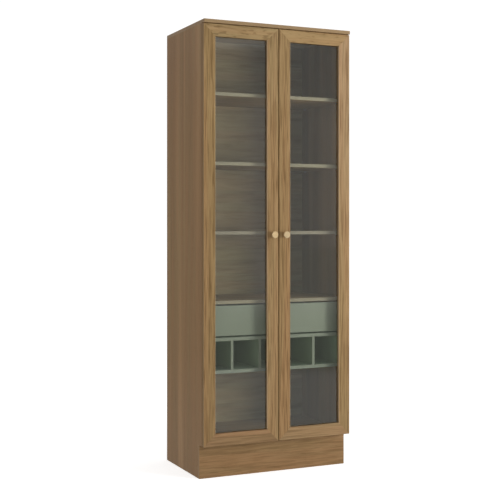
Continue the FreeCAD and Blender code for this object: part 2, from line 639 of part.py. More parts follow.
def door(side, right):
    def mx(x):
        return mirrored(x, right)

    m = T.member
    outer, inner = as_size(0.0), leaf_wide
    lo, hi = T.door_low, T.door_high
    reb = m - T.rebate                       # rebate's outer line from the edge

    # hinge stile, mitred at both ends, with a chamfered rear outer edge
    st = body(side + "_hinge_stile")
    pad(st, XZ, [(mx(outer), lo), (mx(m), lo + m), (mx(m), hi - m), (mx(outer), hi)], T.door_front, door_rear)
    pocket(st, XZ, glass_front, door_rear,
           loops=[[(mx(reb), lo + reb), (mx(m), lo + reb), (mx(m), hi - reb), (mx(reb), hi - reb)]])
    pocket(st, XY, lo, hi, loops=[[(mx(outer), door_rear), (mx(outer), door_rear - T.back_arris),
                                   (mx(T.back_arris), door_rear)]])
    pocket(st, XZ, door_rear - T.cup_deep, door_rear, circles=[(mx(T.cup_x), z, T.cup_bore) for z in hinge_heights])
    pocket(st, XZ, door_rear - 10.0, door_rear,
           circles=[(mx(T.cup_x + 9.5), z + T.cup_screw_z * k, 1.8) for z in hinge_heights for k in (-1, 1)])

    # meeting stile, with the knob's screw hole
    kx = inner - m / 2
    st = body(side + "_meeting_stile")
    pad(st, XZ, [(mx(inner), lo), (mx(inner - m), lo + m), (mx(inner - m), hi - m), (mx(inner), hi)],
        T.door_front, door_rear)
    pocket(st, XZ, glass_front, door_rear,
           loops=[[(mx(inner - reb), lo + reb), (mx(inner - m), lo + reb), (mx(inner - m), hi - reb),
                   (mx(inner - reb), hi - reb)]])
    pocket(st, XZ, T.door_front, door_rear, circles=[(mx(kx), T.knob_mid, T.screw_way)])

    # top and bottom rails
    for name, edge, s in (("_top_rail", hi, -1), ("_bottom_rail", lo, 1)):
        rl = body(side + name)
        pad(rl, XZ, [(mx(outer), edge), (mx(inner), edge), (mx(inner - m), edge + m * s), (mx(m), edge + m * s)],
            T.door_front, door_rear)
        pocket(rl, XZ, glass_front, door_rear,
               loops=[[(mx(reb), edge + reb * s), (mx(inner - reb), edge + reb * s),
                       (mx(inner - reb), edge + m * s), (mx(reb), edge + m * s)]])
        if name == "_bottom_rail" or name == "_top_rail":
            # the chamfer of the hinge stile runs on past the mitre
            pocket(rl, XY, lo if s == 1 else hi - m, lo + m if s == 1 else hi,
                   loops=[[(mx(outer), door_rear), (mx(outer), door_rear - T.back_arris),
                           (mx(T.back_arris), door_rear)]])

    # glass and the beads that hold it
    ga, gb = mx(reb + T.glass_play), mx(inner - reb - T.glass_play)
    if right:
        ga, gb = gb, ga
    block(side + "_glass", ga, glass_front, lo + reb + T.glass_play, gb, glass_front + T.glass_thick,
          hi - reb - T.glass_play)
    b0 = glass_front + T.glass_thick
    b1 = b0 + T.bead_thick
    oa, ob = mx(reb), mx(inner - reb)
    if right:
        oa, ob = ob, oa
    za, zb = lo + reb, hi - reb
    w = T.bead_wide
    group(side + "_glazing_beads", [
        block("bead", oa, b0, za, oa + w, b1, zb, exported=False),
        block("bead", ob - w, b0, za, ob, b1, zb, exported=False),
        block("bead", oa + w, b0, za, ob - w, b1, za + w, exported=False),
        block("bead", oa + w, b0, zb - w, ob - w, b1, zb, exported=False)])

    # knob, turned about its own axis, and its screw
    kn = body(side + "_knob", mx(kx), T.door_front, T.knob_mid)
    out, head = T.knob_out, T.knob_head
    profile = sketch(kn, XY, [[(T.knob_tap, 0), (T.knob_stem, 0), (T.knob_stem - 1.0, 0 - out + head + 2.5),
                               (T.knob_rad - 1.5, 0 - out + head), (T.knob_rad, 0 - out + head - 1.5),
                               (T.knob_rad, 0 - out), (0, 0 - out), (0, 0 - T.knob_tap_deep),
                               (T.knob_tap, 0 - T.knob_tap_deep)]])
    rev = kn.newObject("PartDesign::Revolution", "Turned")
    rev.Profile = profile
    rev.ReferenceAxis = (profile, ["V_Axis"])
    rev.Angle = 360
    doc.recompute()
    rim = []
    for i, edge in enumerate(rev.Shape.Edges, start=1):
        if edge.Curve.TypeId == "Part::GeomCircle" and abs(edge.Curve.Radius - T.knob_rad.v) < 1e-3 \
                and abs(edge.Curve.Center.y + T.knob_out.v) < 1e-3:
            rim.append("Edge%d" % i)
    fil = kn.newObject("PartDesign::Fillet", "Rim")
    fil.Base = (rev, rim)
    bind(fil, "Radius", T.knob_round)
    doc.recompute()

    head_rod = rod("screw_head", "y", mx(kx), door_rear, T.knob_mid, T.screw_head, T.screw_head_tall)
    shank_start = T.door_front - T.knob_tap_deep + 1.0
    shank = rod("screw_shank", "y", mx(kx), shank_start, T.knob_mid, T.screw_rad, door_rear - shank_start + 0.5)
    keep(joined(side + "_knob_screw", [head_rod, shank]), side + "_knob_screw")

    # concealed hinges: cup, pin, cup screws on the door
    cups, pivots, screws = [], [], []
    for z in hinge_heights:
        shell = rod("cup_shell", "y", mx(T.cup_x), door_rear - T.cup_deep, z, T.cup_rad, T.cup_deep)
        fa, fb = mx(T.cup_x - 8.0), mx(T.cup_x + 14.5)
        if right:
            fa, fb = fb, fa
        flange = block("flange", fa, door_rear, z - T.flange_half, fb, door_rear + T.flange_thick,
                       z + T.flange_half, exported=False)
        ring = rod("flange_ring", "y", mx(T.cup_x), door_rear, z, T.cup_rad, T.flange_thick)
        hollow = rod("cup_hollow", "y", mx(T.cup_x), door_rear - T.cup_deep + T.cup_skin, z, T.cup_in,
                     T.cup_deep + 5.0)
        shell = minus("cup_body", joined("cup_solid", [shell, flange, ring]), hollow)
        ears = []
        for za, zb in ((z - T.pivot_half, z - T.eye_half - 0.4), (z + T.eye_half + 0.4, z + T.pivot_half)):
            ea, eb = mx(T.pivot_x - 3.2), mx(T.pivot_x + 2.6)
            if right:
                ea, eb = eb, ea
            ears.append(block("ear", ea, door_rear - T.cup_deep + 0.2, za, eb, T.pivot_y + 2.4, zb, exported=False))
        axle_hole = rod("axle_hole", "z", mx(T.pivot_x), T.pivot_y, z - 14.0, T.pivot_rad, 28.0)
        screw_holes = [rod("screw_hole", "y", mx(T.cup_x + 9.5), door_rear - 1.0, z + T.cup_screw_z * k, 1.8, 4.0)
                       for k in (-1, 1)]
        trim = rod("ear_trim", "y", mx(T.cup_x), door_rear - T.cup_deep, z, T.cup_rad, T.cup_deep)
        ear_solid = doc.addObject("Part::MultiCommon", "ears_in_cup")
        ear_solid.Shapes = [joined("ear_pair", ears), trim]
        solid = joined("cup_with_ears", [shell, ear_solid])
        cups.append(minus("cup", solid, joined("cup_holes", [axle_hole] + screw_holes)))
        pivots.append(rod("pivot", "z", mx(T.pivot_x), T.pivot_y, z - T.pivot_half, T.pivot_rad,
                          T.pivot_half * 2))
        for k in (-1, 1):
            sx, sz = mx(T.cup_x + 9.5), z + T.cup_screw_z * k
            screws.append(joined("cup_screw", [
                rod("cup_screw_head", "y", sx, door_rear + T.flange_thick, sz, 3.4, 1.0),
                rod("cup_screw_shank", "y", sx, door_rear - 9.5, sz, 1.7, 9.5 + T.flange_thick + 0.2)]))
    group(side + "_hinge_cups", cups)
    group(side + "_hinge_pins", pivots)
    group(side + "_cup_screws", screws)


door("left", False)
door("right", True)

# --------------------------------------------------------------------------
# Hinge arms and mounting plates on the side panels
# --------------------------------------------------------------------------
arms, plates, plate_screws = [], [], []
for right in (False, True):
    def mx(x, right=right):
        return mirrored(x, right)

    for z in hinge_heights:
        def slab(name, x0, y0, z0, x1, y1, z1):
            a, c = mx(x0), mx(x1)
            if right:
                a, c = c, a
            return block(name, a, y0, z0, c, y1, z1, exported=False)

        # arm: an eye round the pin, a short leg in the cup, a long leg to the plate
        eye = rod("eye", "z", mx(T.pivot_x), T.pivot_y, z - T.eye_half, T.eye_rad, T.eye_half * 2)
        leg = slab("leg", T.pivot_x, T.arm_low_y, z - T.eye_half, T.arm_x + T.arm_thick,
                   T.arm_low_y + T.arm_thick, z + T.eye_half)
        strip = slab("strip", T.arm_x, T.arm_low_y, z - T.eye_half, T.arm_x + T.arm_thick, T.arm_end,
                     z + T.eye_half)
        wide = slab("wide", T.arm_x, T.plate_y - 16.0, z - 8.0, T.arm_x + T.arm_thick, T.arm_end, z + 8.0)
        eye_hole = rod("eye_hole", "z", mx(T.pivot_x), T.pivot_y, z - T.eye_half - 1.0, T.eye_hole,
                       T.eye_half * 2 + 2.0)
        set_x = mx(T.board + T.plate_wing)
        arm_hole_x = T.board + 1.0
        fix_len = 8.0
        if right:
            fix_start = mx(arm_hole_x) - fix_len
        else:
            fix_start = mx(arm_hole_x)
        arm_hole = rod("arm_hole", "x", fix_start, T.plate_y + 3.0, z, 2.1, fix_len)
        arms.append(minus("arm", joined("arm_solid", [eye, leg, strip, wide]), joined("arm_holes", [eye_hole, arm_hole])))

        # mounting plate: two wings on the panel and a saddle under the arm
        saddle = slab("saddle", T.board, 46.0, z - 6.0, T.arm_x, T.arm_end, z + 6.0)
        wings = slab("wings", T.board, T.plate_y - 6.0, z - 22.0, T.board + T.plate_wing, T.plate_y + 6.0, z + 22.0)
        holes = [rod("plate_arm_hole", "x", fix_start, T.plate_y + 3.0, z, 2.1, fix_len)]
        for k in (-1, 1):
            start = mx(T.board - 1.0) - 5.0 if right else mx(T.board - 1.0)
            holes.append(rod("plate_hole", "x", start, T.plate_y, z + T.plate_screw_z * k, 2.6, 5.0))
        plates.append(minus("plate", joined("plate_solid", [saddle, wings]), joined("plate_holes", holes)))

        # two screws into the panel and one that clamps the arm to the plate
        for k in (-1, 1):
            head_x = T.board + T.plate_wing
            sz = z + T.plate_screw_z * k
            if right:
                head = rod("plate_screw_head", "x", mx(head_x) - 1.4, T.plate_y, sz, 3.9, 1.4)
                shank = rod("plate_screw_shank", "x", mx(head_x) - 0.2, T.plate_y, sz, 2.4,
                            T.plate_wing + T.bolt_side - 0.5 + 0.2)
            else:
                head = rod("plate_screw_head", "x", mx(head_x), T.plate_y, sz, 3.9, 1.4)
                shank = rod("plate_screw_shank", "x", mx(T.board - T.bolt_side + 0.5), T.plate_y, sz, 2.4,
                            T.plate_wing + T.bolt_side - 0.5 + 0.2)
            plate_screws.append(joined("plate_screw", [head, shank]))
        top_x = T.arm_x + T.arm_thick
        if right:
            head = rod("arm_screw_head", "x", mx(top_x) - 1.4, T.plate_y + 3.0, z, 3.4, 1.4)
            shank = rod("arm_screw_shank", "x", mx(top_x) - 0.2, T.plate_y + 3.0, z, 2.0, 5.0)
        else:
            head = rod("arm_screw_head", "x", mx(top_x), T.plate_y + 3.0, z, 3.4, 1.4)
            shank = rod("arm_screw_shank", "x", mx(top_x) - 4.8, T.plate_y + 3.0, z, 2.0, 5.0)
        plate_screws.append(joined("arm_screw", [head, shank]))
group("hinge_arms", arms)
group("hinge_plates", plates)
group("hinge_plate_screws", plate_screws)

# --------------------------------------------------------------------------
# Wall brackets under the top panel, and the soft door bumpers
# --------------------------------------------------------------------------
brackets, bracket_screws = [], []
for k in (-1, 1):
    mid = T.width / 2 + T.bracket_off * k
    across = block("bracket_top", mid - T.bracket_half, T.back_front - T.bracket_leg, top_low - T.bracket_thick,
                   mid + T.bracket_half, T.back_front, top_low, exported=False)
    down = block("bracket_down", mid - T.bracket_half, T.back_front - T.bracket_thick, top_low - T.bracket_leg,
                 mid + T.bracket_half, T.back_front, top_low, exported=False)
    wall = rod("wall_hole", "y", mid, T.back_front - T.bracket_thick - 1.0, top_low - T.bracket_drop,
               T.bracket_hole, T.bracket_thick + 2.0)
    up = rod("top_hole", "z", mid, T.back_front - 18.0, top_low - T.bracket_thick - 1.0, 2.1, T.bracket_thick + 2.0)
    brackets.append(minus("bracket", joined("bracket_solid", [across, down]), joined("bracket_holes", [wall, up])))
    head = rod("bracket_screw_head", "z", mid, T.back_front - 18.0, top_low - T.bracket_thick - 1.6, 3.8, 1.6)
    shank = rod("bracket_screw_shank", "z", mid, T.back_front - 18.0, top_low - T.bracket_thick - 0.2, 1.9,
                T.bracket_thick + 0.2 + 10.0)
    bracket_screws.append(joined("bracket_screw", [head, shank]))
group("wall_brackets", brackets)
group("wall_bracket_screws", bracket_screws)
pocket(top, XY, top_low, top_low + 10.3,
       circles=[(T.width / 2 + T.bracket_off * k, T.back_front - 18.0, 1.95) for k in (-1, 1)])

group("door_bumpers", [
    rod("bumper", "y", T.width / 2 + 26.0 * k, T.side_front - T.bumper_tall, low_mid, T.bumper_rad, T.bumper_tall)
    for k in (-1, 1)])

# --------------------------------------------------------------------------
# Checks and export
# --------------------------------------------------------------------------
doc.recompute()
faults = []
for obj in doc.Objects:
    if "Invalid" in obj.State or "Error" in obj.State:
        faults.append("%s (%s): %s" % (obj.Name, obj.Label, obj.State))
for obj in NODES:
    shape = obj.Shape
    if shape.isNull() or not shape.isValid() or not shape.Solids:
        faults.append("%s: the shape is null, not valid or has no solid" % obj.Label)
if faults:
    raise RuntimeError("; ".join(faults[:20]))

os.makedirs("parts", exist_ok=True)
for obj in NODES:
    obj.Shape.exportStep(os.path.join("parts", obj.Label + ".step"))

whole = FreeCAD.BoundBox()
for obj in NODES:
    whole.add(obj.Shape.BoundBox)
    print("%-22s %2d solids  %12.1f mm3" % (obj.Label, len(obj.Shape.Solids), obj.Shape.Volume))
print(len(NODES), "nodes, box", [round(q, 3) for q in (whole.XMin, whole.YMin, whole.ZMin, whole.XMax, whole.YMax, whole.ZMax)])
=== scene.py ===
import math
import bpy
import bmesh
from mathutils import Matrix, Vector


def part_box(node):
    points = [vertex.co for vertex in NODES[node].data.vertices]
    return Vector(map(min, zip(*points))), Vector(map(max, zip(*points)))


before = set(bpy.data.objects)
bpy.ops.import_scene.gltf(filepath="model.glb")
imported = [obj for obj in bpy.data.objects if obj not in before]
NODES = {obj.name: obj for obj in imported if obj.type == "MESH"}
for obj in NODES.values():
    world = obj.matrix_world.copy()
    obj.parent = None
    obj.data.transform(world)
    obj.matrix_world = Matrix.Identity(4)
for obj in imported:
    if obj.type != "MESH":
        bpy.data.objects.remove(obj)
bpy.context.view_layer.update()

scene = bpy.context.scene

# ------------------------------------------------------------------ node helpers


class Tree:
    """A material's node tree, written as nested calls that return sockets."""

    def __init__(self, name):
        self.mat = bpy.data.materials.new(name)
        self.mat.use_nodes = True
        self.nt = self.mat.node_tree
        self.nt.nodes.clear()
        self.out = self.nt.nodes.new("ShaderNodeOutputMaterial")
        self.coord = self.nt.nodes.new("ShaderNodeTexCoord").outputs["Object"]

    def put(self, socket, value):
        if isinstance(value, bpy.types.NodeSocket):
            self.nt.links.new(value, socket)
        elif value is not None:
            socket.default_value = value

    def math(self, op, a, b=None, c=None, clamp=False):
        n = self.nt.nodes.new("ShaderNodeMath")
        n.operation = op
        n.use_clamp = clamp
        self.put(n.inputs[0], a)
        self.put(n.inputs[1], b)
        self.put(n.inputs[2], c)
        return n.outputs[0]

    def add(self, a, b):
        return self.math("ADD", a, b)

    def mul(self, a, b):
        return self.math("MULTIPLY", a, b)

    def ramp01(self, v, lo, hi, to_lo=0.0, to_hi=1.0, kind="SMOOTHSTEP"):
        n = self.nt.nodes.new("ShaderNodeMapRange")
        n.interpolation_type = kind
        self.put(n.inputs["Value"], v)
        n.inputs["From Min"].default_value = lo
        n.inputs["From Max"].default_value = hi
        n.inputs["To Min"].default_value = to_lo
        n.inputs["To Max"].default_value = to_hi
        return n.outputs[0]

    def split(self, v):
        n = self.nt.nodes.new("ShaderNodeSeparateXYZ")
        self.put(n.inputs[0], v)
        return n.outputs[0], n.outputs[1], n.outputs[2]

    def join(self, x, y, z):
        n = self.nt.nodes.new("ShaderNodeCombineXYZ")
        for s, v in zip(n.inputs, (x, y, z)):
            self.put(s, v)
        return n.outputs[0]

    def scaled(self, v, by, off=(0.0, 0.0, 0.0)):
        n = self.nt.nodes.new("ShaderNodeVectorMath")
        n.operation = "MULTIPLY_ADD"
        self.put(n.inputs[0], v)
        n.inputs[1].default_value = by
        n.inputs[2].default_value = off
        return n.outputs[0]

    def noise(self, v, scale=1.0, detail=2.0, rough=0.5, warp=0.0):
        n = self.nt.nodes.new("ShaderNodeTexNoise")
        self.put(n.inputs["Vector"], v)
        n.inputs["Scale"].default_value = scale
        n.inputs["Detail"].default_value = detail
        n.inputs["Roughness"].default_value = rough
        n.inputs["Distortion"].default_value = warp
        return n.outputs["Fac"]

    def white(self, w):
        n = self.nt.nodes.new("ShaderNodeTexWhiteNoise")
        n.noise_dimensions = "1D"
        self.put(n.inputs["W"], w)
        return n.outputs["Value"]

    def mix(self, fac, a, b, blend="MIX"):
        n = self.nt.nodes.new("ShaderNodeMix")
        n.data_type = "RGBA"
        n.blend_type = blend
        self.put(n.inputs[0], fac)
        self.put(n.inputs[6], a if isinstance(a, bpy.types.NodeSocket) else (*a, 1.0))
        self.put(n.inputs[7], b if isinstance(b, bpy.types.NodeSocket) else (*b, 1.0))
        return n.outputs[2]

    def bright(self, colour, by):
        """colour times a number that varies over the surface."""
        n = self.nt.nodes.new("ShaderNodeVectorMath")
        n.operation = "SCALE"
        self.put(n.inputs[0], colour)
        self.put(n.inputs["Scale"], by)
        return n.outputs[0]

    def bump(self, height, strength, distance):
        n = self.nt.nodes.new("ShaderNodeBump")
        n.inputs["Strength"].default_value = strength
        n.inputs["Distance"].default_value = distance
        self.put(n.inputs["Height"], height)
        return n.outputs["Normal"]

    def principled(self, colour, rough, normal=None, **fixed):
        n = self.nt.nodes.new("ShaderNodeBsdfPrincipled")
        self.put(n.inputs["Base Color"], colour if isinstance(colour, bpy.types.NodeSocket) else (*colour, 1.0))
        self.put(n.inputs["Roughness"], rough)
        if normal is not None:
            self.put(n.inputs["Normal"], normal)
        for key, value in fixed.items():
            n.inputs[key.replace("_", " ")].default_value = value
        return n

    def surface(self, shader):
        self.put(self.out.inputs["Surface"], shader if isinstance(shader, bpy.types.NodeSocket) else shader.outputs[0])
        return self.mat


# ------------------------------------------------------------------ wood

OAK_LIGHT = (0.400, 0.246, 0.112)
OAK_MID = (0.300, 0.178, 0.076)
OAK_DARK = (0.186, 0.102, 0.039)
BAND = (0.350, 0.315, 0.218)
# the stiles' inner edge faces and a millimetre of the front beside them: pale colours that are painted light and a
# painted highlight along the arris, the paler one for faces turned to the left
REVEAL_PAINTED_LIGHT = (0.470, 0.340, 0.200)
REVEAL_PAINTED_LIGHT_LEFT_FACING = (0.540, 0.385, 0.235)
TOP_EDGE = (0.290, 0.196, 0.104)
# the doors' outer and meeting edge faces: a dark colour that is painted shade, for the shadowed gaps beside and
# between the doors
DOOR_EDGE_PAINTED_SHADE = (0.215, 0.128, 0.048)
END_EDGE = (0.200, 0.124, 0.057)
REAR_EDGE = (0.290, 0.176, 0.079)
PLINTH_END = (0.252, 0.147, 0.060)

# Layers of figure: (scale across, scale along, scale in depth, detail, from, to, weight). Each one is a noise
# drawn out along the fibres, sharpened between from and to, that darkens the wood by up to its weight.
STRAIGHT = ((133.0, 4.5, 30.0, 1.0, 0.50, 0.60, 0.46), (230.0, 7.0, 50.0, 1.0, 0.42, 0.58, 0.26),
            (40.0, 1.0, 9.0, 1.0, 0.38, 0.62, 0.10))
QUIET = ((120.0, 4.5, 30.0, 1.0, 0.48, 0.62, 0.28), (230.0, 7.0, 50.0, 1.0, 0.42, 0.60, 0.20),
         (40.0, 1.0, 9.0, 1.0, 0.38, 0.62, 0.08))
CALM = ((8.5, 0.25, 5.0, 1.0, 0.42, 0.57, 0.40), (34.0, 0.8, 15.0, 1.0, 0.40, 0.62, 0.06),
        (120.0, 2.2, 40.0, 2.0, 0.42, 0.64, 0.05))
LENSES = ((110.0, 6.0, 26.0, 1.0, 0.46, 0.62, 0.24), (190.0, 10.0, 40.0, 2.0, 0.42, 0.62, 0.20),
          (30.0, 1.5, 10.0, 1.0, 0.40, 0.62, 0.06))
DASHES = ((88.0, 24.0, 40.0, 1.0, 0.60, 0.68, 0.42), (64.0, 1.8, 20.0, 1.0, 0.42, 0.62, 0.18),
          (150.0, 5.0, 40.0, 2.0, 0.42, 0.64, 0.16))
CLOUDY = ((30.0, 3.2, 12.0, 1.5, 0.42, 0.64, 0.24), (66.0, 8.0, 30.0, 1.5, 0.50, 0.66, 0.20),
          (150.0, 6.0, 40.0, 2.0, 0.42, 0.64, 0.10))
SOFT = ((30.0, 2.0, 12.0, 1.5, 0.42, 0.64, 0.26), (62.0, 7.0, 30.0, 1.5, 0.52, 0.66, 0.24),
        (150.0, 5.0, 40.0, 2.0, 0.42, 0.64, 0.14))


def veneer(name, grain="Z", across="X", centre=(0.0, 0.0, 0.0), seed=0.0, layers=STRAIGHT, rings=0.20, spacing=0.0085,
           pith=(0.30, 0.20), lean=0.0, leaf=0.0, tone=(1.0, 1.0, 1.0), wave=1.0, base=0.0, light=None, edge=(),
           sheen=0.48, frame_of=None, fade=None, warm=None):
    """Oak veneer under a satin lacquer. grain is the axis the fibres run along, across the face's other axis,
    and the third one is the depth. pith is where the growth rings' centre lies (across, depth) from the face's
    middle; lean tilts it along the grain, which turns straight lines into arches. leaf is the width of one
    sheet of veneer, after which the figure starts again. frame_of is half the width and height of a mitred
    frame of slips, whose fibres turn at the corners. The last two arguments paint light and shade along the
    grain: a ramp (from, to, brightness there, brightness there), and a tint that comes in with it."""
    t = Tree(name)
    axes = dict(zip("XYZ", t.split(t.coord)))
    mid = dict(zip("XYZ", centre))
    third = [k for k in "XYZ" if k not in (grain, across)][0]
    g = t.add(axes[grain], -mid[grain])
    a = t.add(axes[across], -mid[across])
    d = t.add(axes[third], -mid[third] + 0.31 * seed)
    if frame_of:
        to_side = t.math("SUBTRACT", frame_of[0], t.math("ABSOLUTE", a))
        to_end = t.math("SUBTRACT", frame_of[1], t.math("ABSOLUTE", g))
        lying = t.math("LESS_THAN", to_end, to_side)
        turned = t.math("SUBTRACT", a, g)
        a, g = t.math("SUBTRACT", a, t.mul(lying, turned)), t.math("MULTIPLY_ADD", lying, turned, g)
    # painted light and shade along the grain, and a painted tint that comes in with it
    painted_light_tone = t.ramp01(g, *fade) if fade else None
    warmer = t.ramp01(g, fade[0], fade[1]) if warm else None
    g = t.add(g, 11.3 * seed)
    if leaf:
        cell = t.math("FLOOR", t.math("DIVIDE", a, leaf))
        rnd = t.white(t.add(cell, 3.7 * seed + 0.5))
        a = t.math("SUBTRACT", t.math("MODULO", t.add(a, 100 * leaf), leaf), leaf / 2)
        a = t.add(a, t.math("MULTIPLY_ADD", rnd, leaf * 0.5, -leaf * 0.25))
        g = t.add(g, t.mul(rnd, 7.7))
        leaf_tone = t.math("MULTIPLY_ADD", rnd, 0.07, 0.965)
    else:
        leaf_tone = None
    v = t.join(a, d, g)

    # the fibres wander a little along the board
    drift = t.noise(t.scaled(v, (3.0, 3.0, 1.3), (0.0, 1.7, 0.0)), detail=1.0)
    sway = t.noise(t.scaled(v, (14.0, 14.0, 5.5), (4.1, 0.0, 2.3)), detail=1.0)
    bend = t.add(t.mul(t.add(drift, -0.5), 0.026 * wave), t.mul(t.add(sway, -0.5), 0.0060 * wave))
    a2 = t.add(a, bend)
    v = t.join(a2, d, g)

    # growth rings
    ra = t.add(a2, pith[0])
    rd = t.add(d, t.math("MULTIPLY_ADD", g, lean, pith[1] - 0.31 * seed - 11.3 * seed * lean) if lean
               else pith[1] - 0.31 * seed)
    r = t.math("SQRT", t.add(t.mul(ra, ra), t.mul(rd, rd)))
    ring = t.math("FRACT", t.math("DIVIDE", t.add(r, t.mul(bend, 0.6)), spacing))
    late = t.math("MAXIMUM", t.ramp01(ring, 0.0, 0.34, 1.0, 0.0), t.ramp01(ring, 0.84, 1.0, 0.0, 1.0))
    uneven = t.noise(t.scaled(v, (60.0, 60.0, 2.2), (0.0, 9.0, 0.0)), detail=1.0)
    late = t.mul(late, t.ramp01(uneven, 0.34, 0.66, 0.15, 1.0))

    # the fine lines between them, and the open pores
    fine = t.noise(t.scaled(v, (640.0, 640.0, 13.0)), detail=2.0, rough=0.6)
    pore = t.noise(t.scaled(v, (1300.0, 1300.0, 55.0), (3.0, 0.0, 0.0)), detail=1.0, rough=0.5)
    pore = t.ramp01(pore, 0.58, 0.70, 0.0, 1.0)
    pore = t.mul(pore, t.math("MULTIPLY_ADD", late, 0.7, 0.3))

    dark = t.math("MULTIPLY_ADD", late, rings, base)
    for k, (sa, sg, sd, detail, lo, hi, weight) in enumerate(layers):
        n = t.noise(t.scaled(v, (sa, sd, sg), (1.7 * k, 0.0, 3.1 * k)), detail=detail, rough=0.55)
        dark = t.add(dark, t.ramp01(n, lo, hi, 0.0, weight))
    dark = t.add(dark, t.ramp01(fine, 0.32, 0.70, 0.0, 0.20))
    dark = t.math("ADD", dark, 0.0, clamp=True)
    L, M, D = [tuple(c * k for c, k in zip(col, tone)) for col in (light or OAK_LIGHT, OAK_MID, OAK_DARK)]
    ramp = t.nt.nodes.new("ShaderNodeValToRGB")
    ramp.color_ramp.elements[0].position = 0.0
    ramp.color_ramp.elements[0].color = (*L, 1.0)
    ramp.color_ramp.elements[1].position = 1.0
    ramp.color_ramp.elements[1].color = (*D, 1.0)
    e = ramp.color_ramp.elements.new(0.46)
    e.color = (*M, 1.0)
    t.put(ramp.inputs[0], dark)
    colour = ramp.outputs[0]
    # a little red and a little straw colour, in broad soft patches
    hue = t.noise(t.scaled(v, (24.0, 24.0, 1.1), (0.0, 5.0, 7.0)), detail=1.0)
    colour = t.mix(t.ramp01(hue, 0.42, 0.62, 0.0, 0.8), colour, (1.035, 0.985, 0.95), "MULTIPLY")
    colour = t.mix(t.ramp01(hue, 0.38, 0.58, 0.8, 0.0), colour, (0.975, 1.015, 0.98), "MULTIPLY")
    # the painted tint, then the painted light and shade, and each leaf's own tone
    if warm:
        colour = t.mix(warmer, colour, warm, "MULTIPLY")
    for by in (leaf_tone, painted_light_tone):
        if by is not None:
            colour = t.bright(colour, by)
    colour = t.bright(colour, t.math("MULTIPLY_ADD", pore, -0.30, 1.0))
    # edge colours laid over a face and about a millimetre of the faces beside it: real edge bands, and on the doors
    # painted shade in the gaps and painted light on the inner edges
    for axis, side, at, col in edge:
        far = t.math("SUBTRACT", axes[axis], at) if side > 0 else t.math("SUBTRACT", at, axes[axis])
        colour = t.mix(t.ramp01(far, -0.0012, -0.0008, 0.0, 0.80), colour, col)

    rough = t.math("MULTIPLY_ADD", dark, 0.08, sheen)
    rough = t.add(rough, t.mul(pore, 0.12))
    height = t.add(t.mul(pore, -1.0), t.mul(fine, 0.35))
    height = t.add(height, t.mul(late, -0.25))
    normal = t.bump(height, 0.22, 0.0004)
    return t.surface(t.principled(colour, rough, normal, Specular_IOR_Level=0.20))


# ------------------------------------------------------------------ other finishes


def lacquer(name, colour, seed=0.0, sheen=0.46, inside=None):
    """Matt lacquer sprayed on board: a faint orange peel, and faint cloudiness from coat to coat. inside is
    (front, colour): behind the front edge the faces take that colour instead, which on the cubby also carries painted
    light and shade."""
    t = Tree(name)
    if inside:
        front, deep = inside
        behind = t.math("SUBTRACT", t.split(t.coord)[1], front)
        colour = t.mix(t.ramp01(behind, 0.0008, 0.0016), colour, deep)
    cloud = t.noise(t.scaled(t.coord, (5.0, 5.0, 5.0), (seed, 0.0, 0.0)), detail=2.0)
    speck = t.noise(t.scaled(t.coord, (420.0, 420.0, 420.0)), detail=2.0, rough=0.6)
    col = t.bright(colour, t.ramp01(cloud, 0.3, 0.7, 0.965, 1.035))
    col = t.bright(col, t.ramp01(speck, 0.3, 0.7, 0.985, 1.015))
    rough = t.ramp01(cloud, 0.3, 0.7, sheen - 0.03, sheen + 0.05)
    normal = t.bump(speck, 0.10, 0.0003)
    return t.surface(t.principled(col, rough, normal, Specular_IOR_Level=0.40))


def metal(name, colour, rough, brush="Z", scale=1.0, spread=0.06, tarnish=0.08, metallic=1.0):
    """Metal with fine tool or brush lines along one axis and slight tarnish."""
    t = Tree(name)
    s = [900.0 * scale] * 3
    s["XYZ".index(brush)] = 25.0 * scale
    lines = t.noise(t.scaled(t.coord, tuple(s)), detail=3.0, rough=0.6)
    cloud = t.noise(t.scaled(t.coord, (60.0, 60.0, 60.0)), detail=3.0, rough=0.6)
    dull = tuple(c * k for c, k in zip(colour, (0.90, 0.86, 0.80)))
    col = t.mix(t.ramp01(cloud, 0.35, 0.75, 0.0, tarnish * 6), colour, dull)
    col = t.bright(col, t.ramp01(lines, 0.3, 0.7, 0.96, 1.04))
    r = t.add(t.ramp01(lines, 0.3, 0.7, rough - spread, rough + spread), t.mul(cloud, 0.05))
    normal = t.bump(lines, 0.12, 0.0002)
    return t.surface(t.principled(col, r, normal, Metallic=metallic))


def clear_glass(name):
    """A float-glass pane: clear, very faintly grey, lamps reach what is behind it."""
    t = Tree(name)
    film = t.noise(t.scaled(t.coord, (3.0, 3.0, 2.0)), detail=3.0, rough=0.55)
    wipe = t.noise(t.scaled(t.coord, (40.0, 40.0, 6.0), (0.0, 3.0, 0.0)), detail=2.0)
    tint = t.mix(t.ramp01(film, 0.3, 0.7), (0.945, 0.972, 0.958), (0.955, 0.980, 0.966))
    rough = t.ramp01(t.add(film, t.mul(wipe, 0.4)), 0.5, 0.9, 0.0, 0.012)
    glass = t.principled(tint, rough, None, Transmission_Weight=1.0, IOR=1.50,
                         Specular_Tint=(0.985, 0.99, 0.93, 1.0))
    path = t.nt.nodes.new("ShaderNodeLightPath").outputs

    def through(colour, fac, rest):
        clear = t.nt.nodes.new("ShaderNodeBsdfTransparent")
        clear.inputs["Color"].default_value = colour
        mix = t.nt.nodes.new("ShaderNodeMixShader")
        t.put(mix.inputs[0], fac)
        t.nt.links.new(rest, mix.inputs[1])
        t.nt.links.new(clear.outputs[0], mix.inputs[2])
        return mix.outputs[0]

    lit = through((0.700, 0.715, 0.708, 1.0), path["Is Diffuse Ray"], glass.outputs[0])
    return t.surface(through((0.930, 0.950, 0.940, 1.0), path["Is Shadow Ray"], lit))


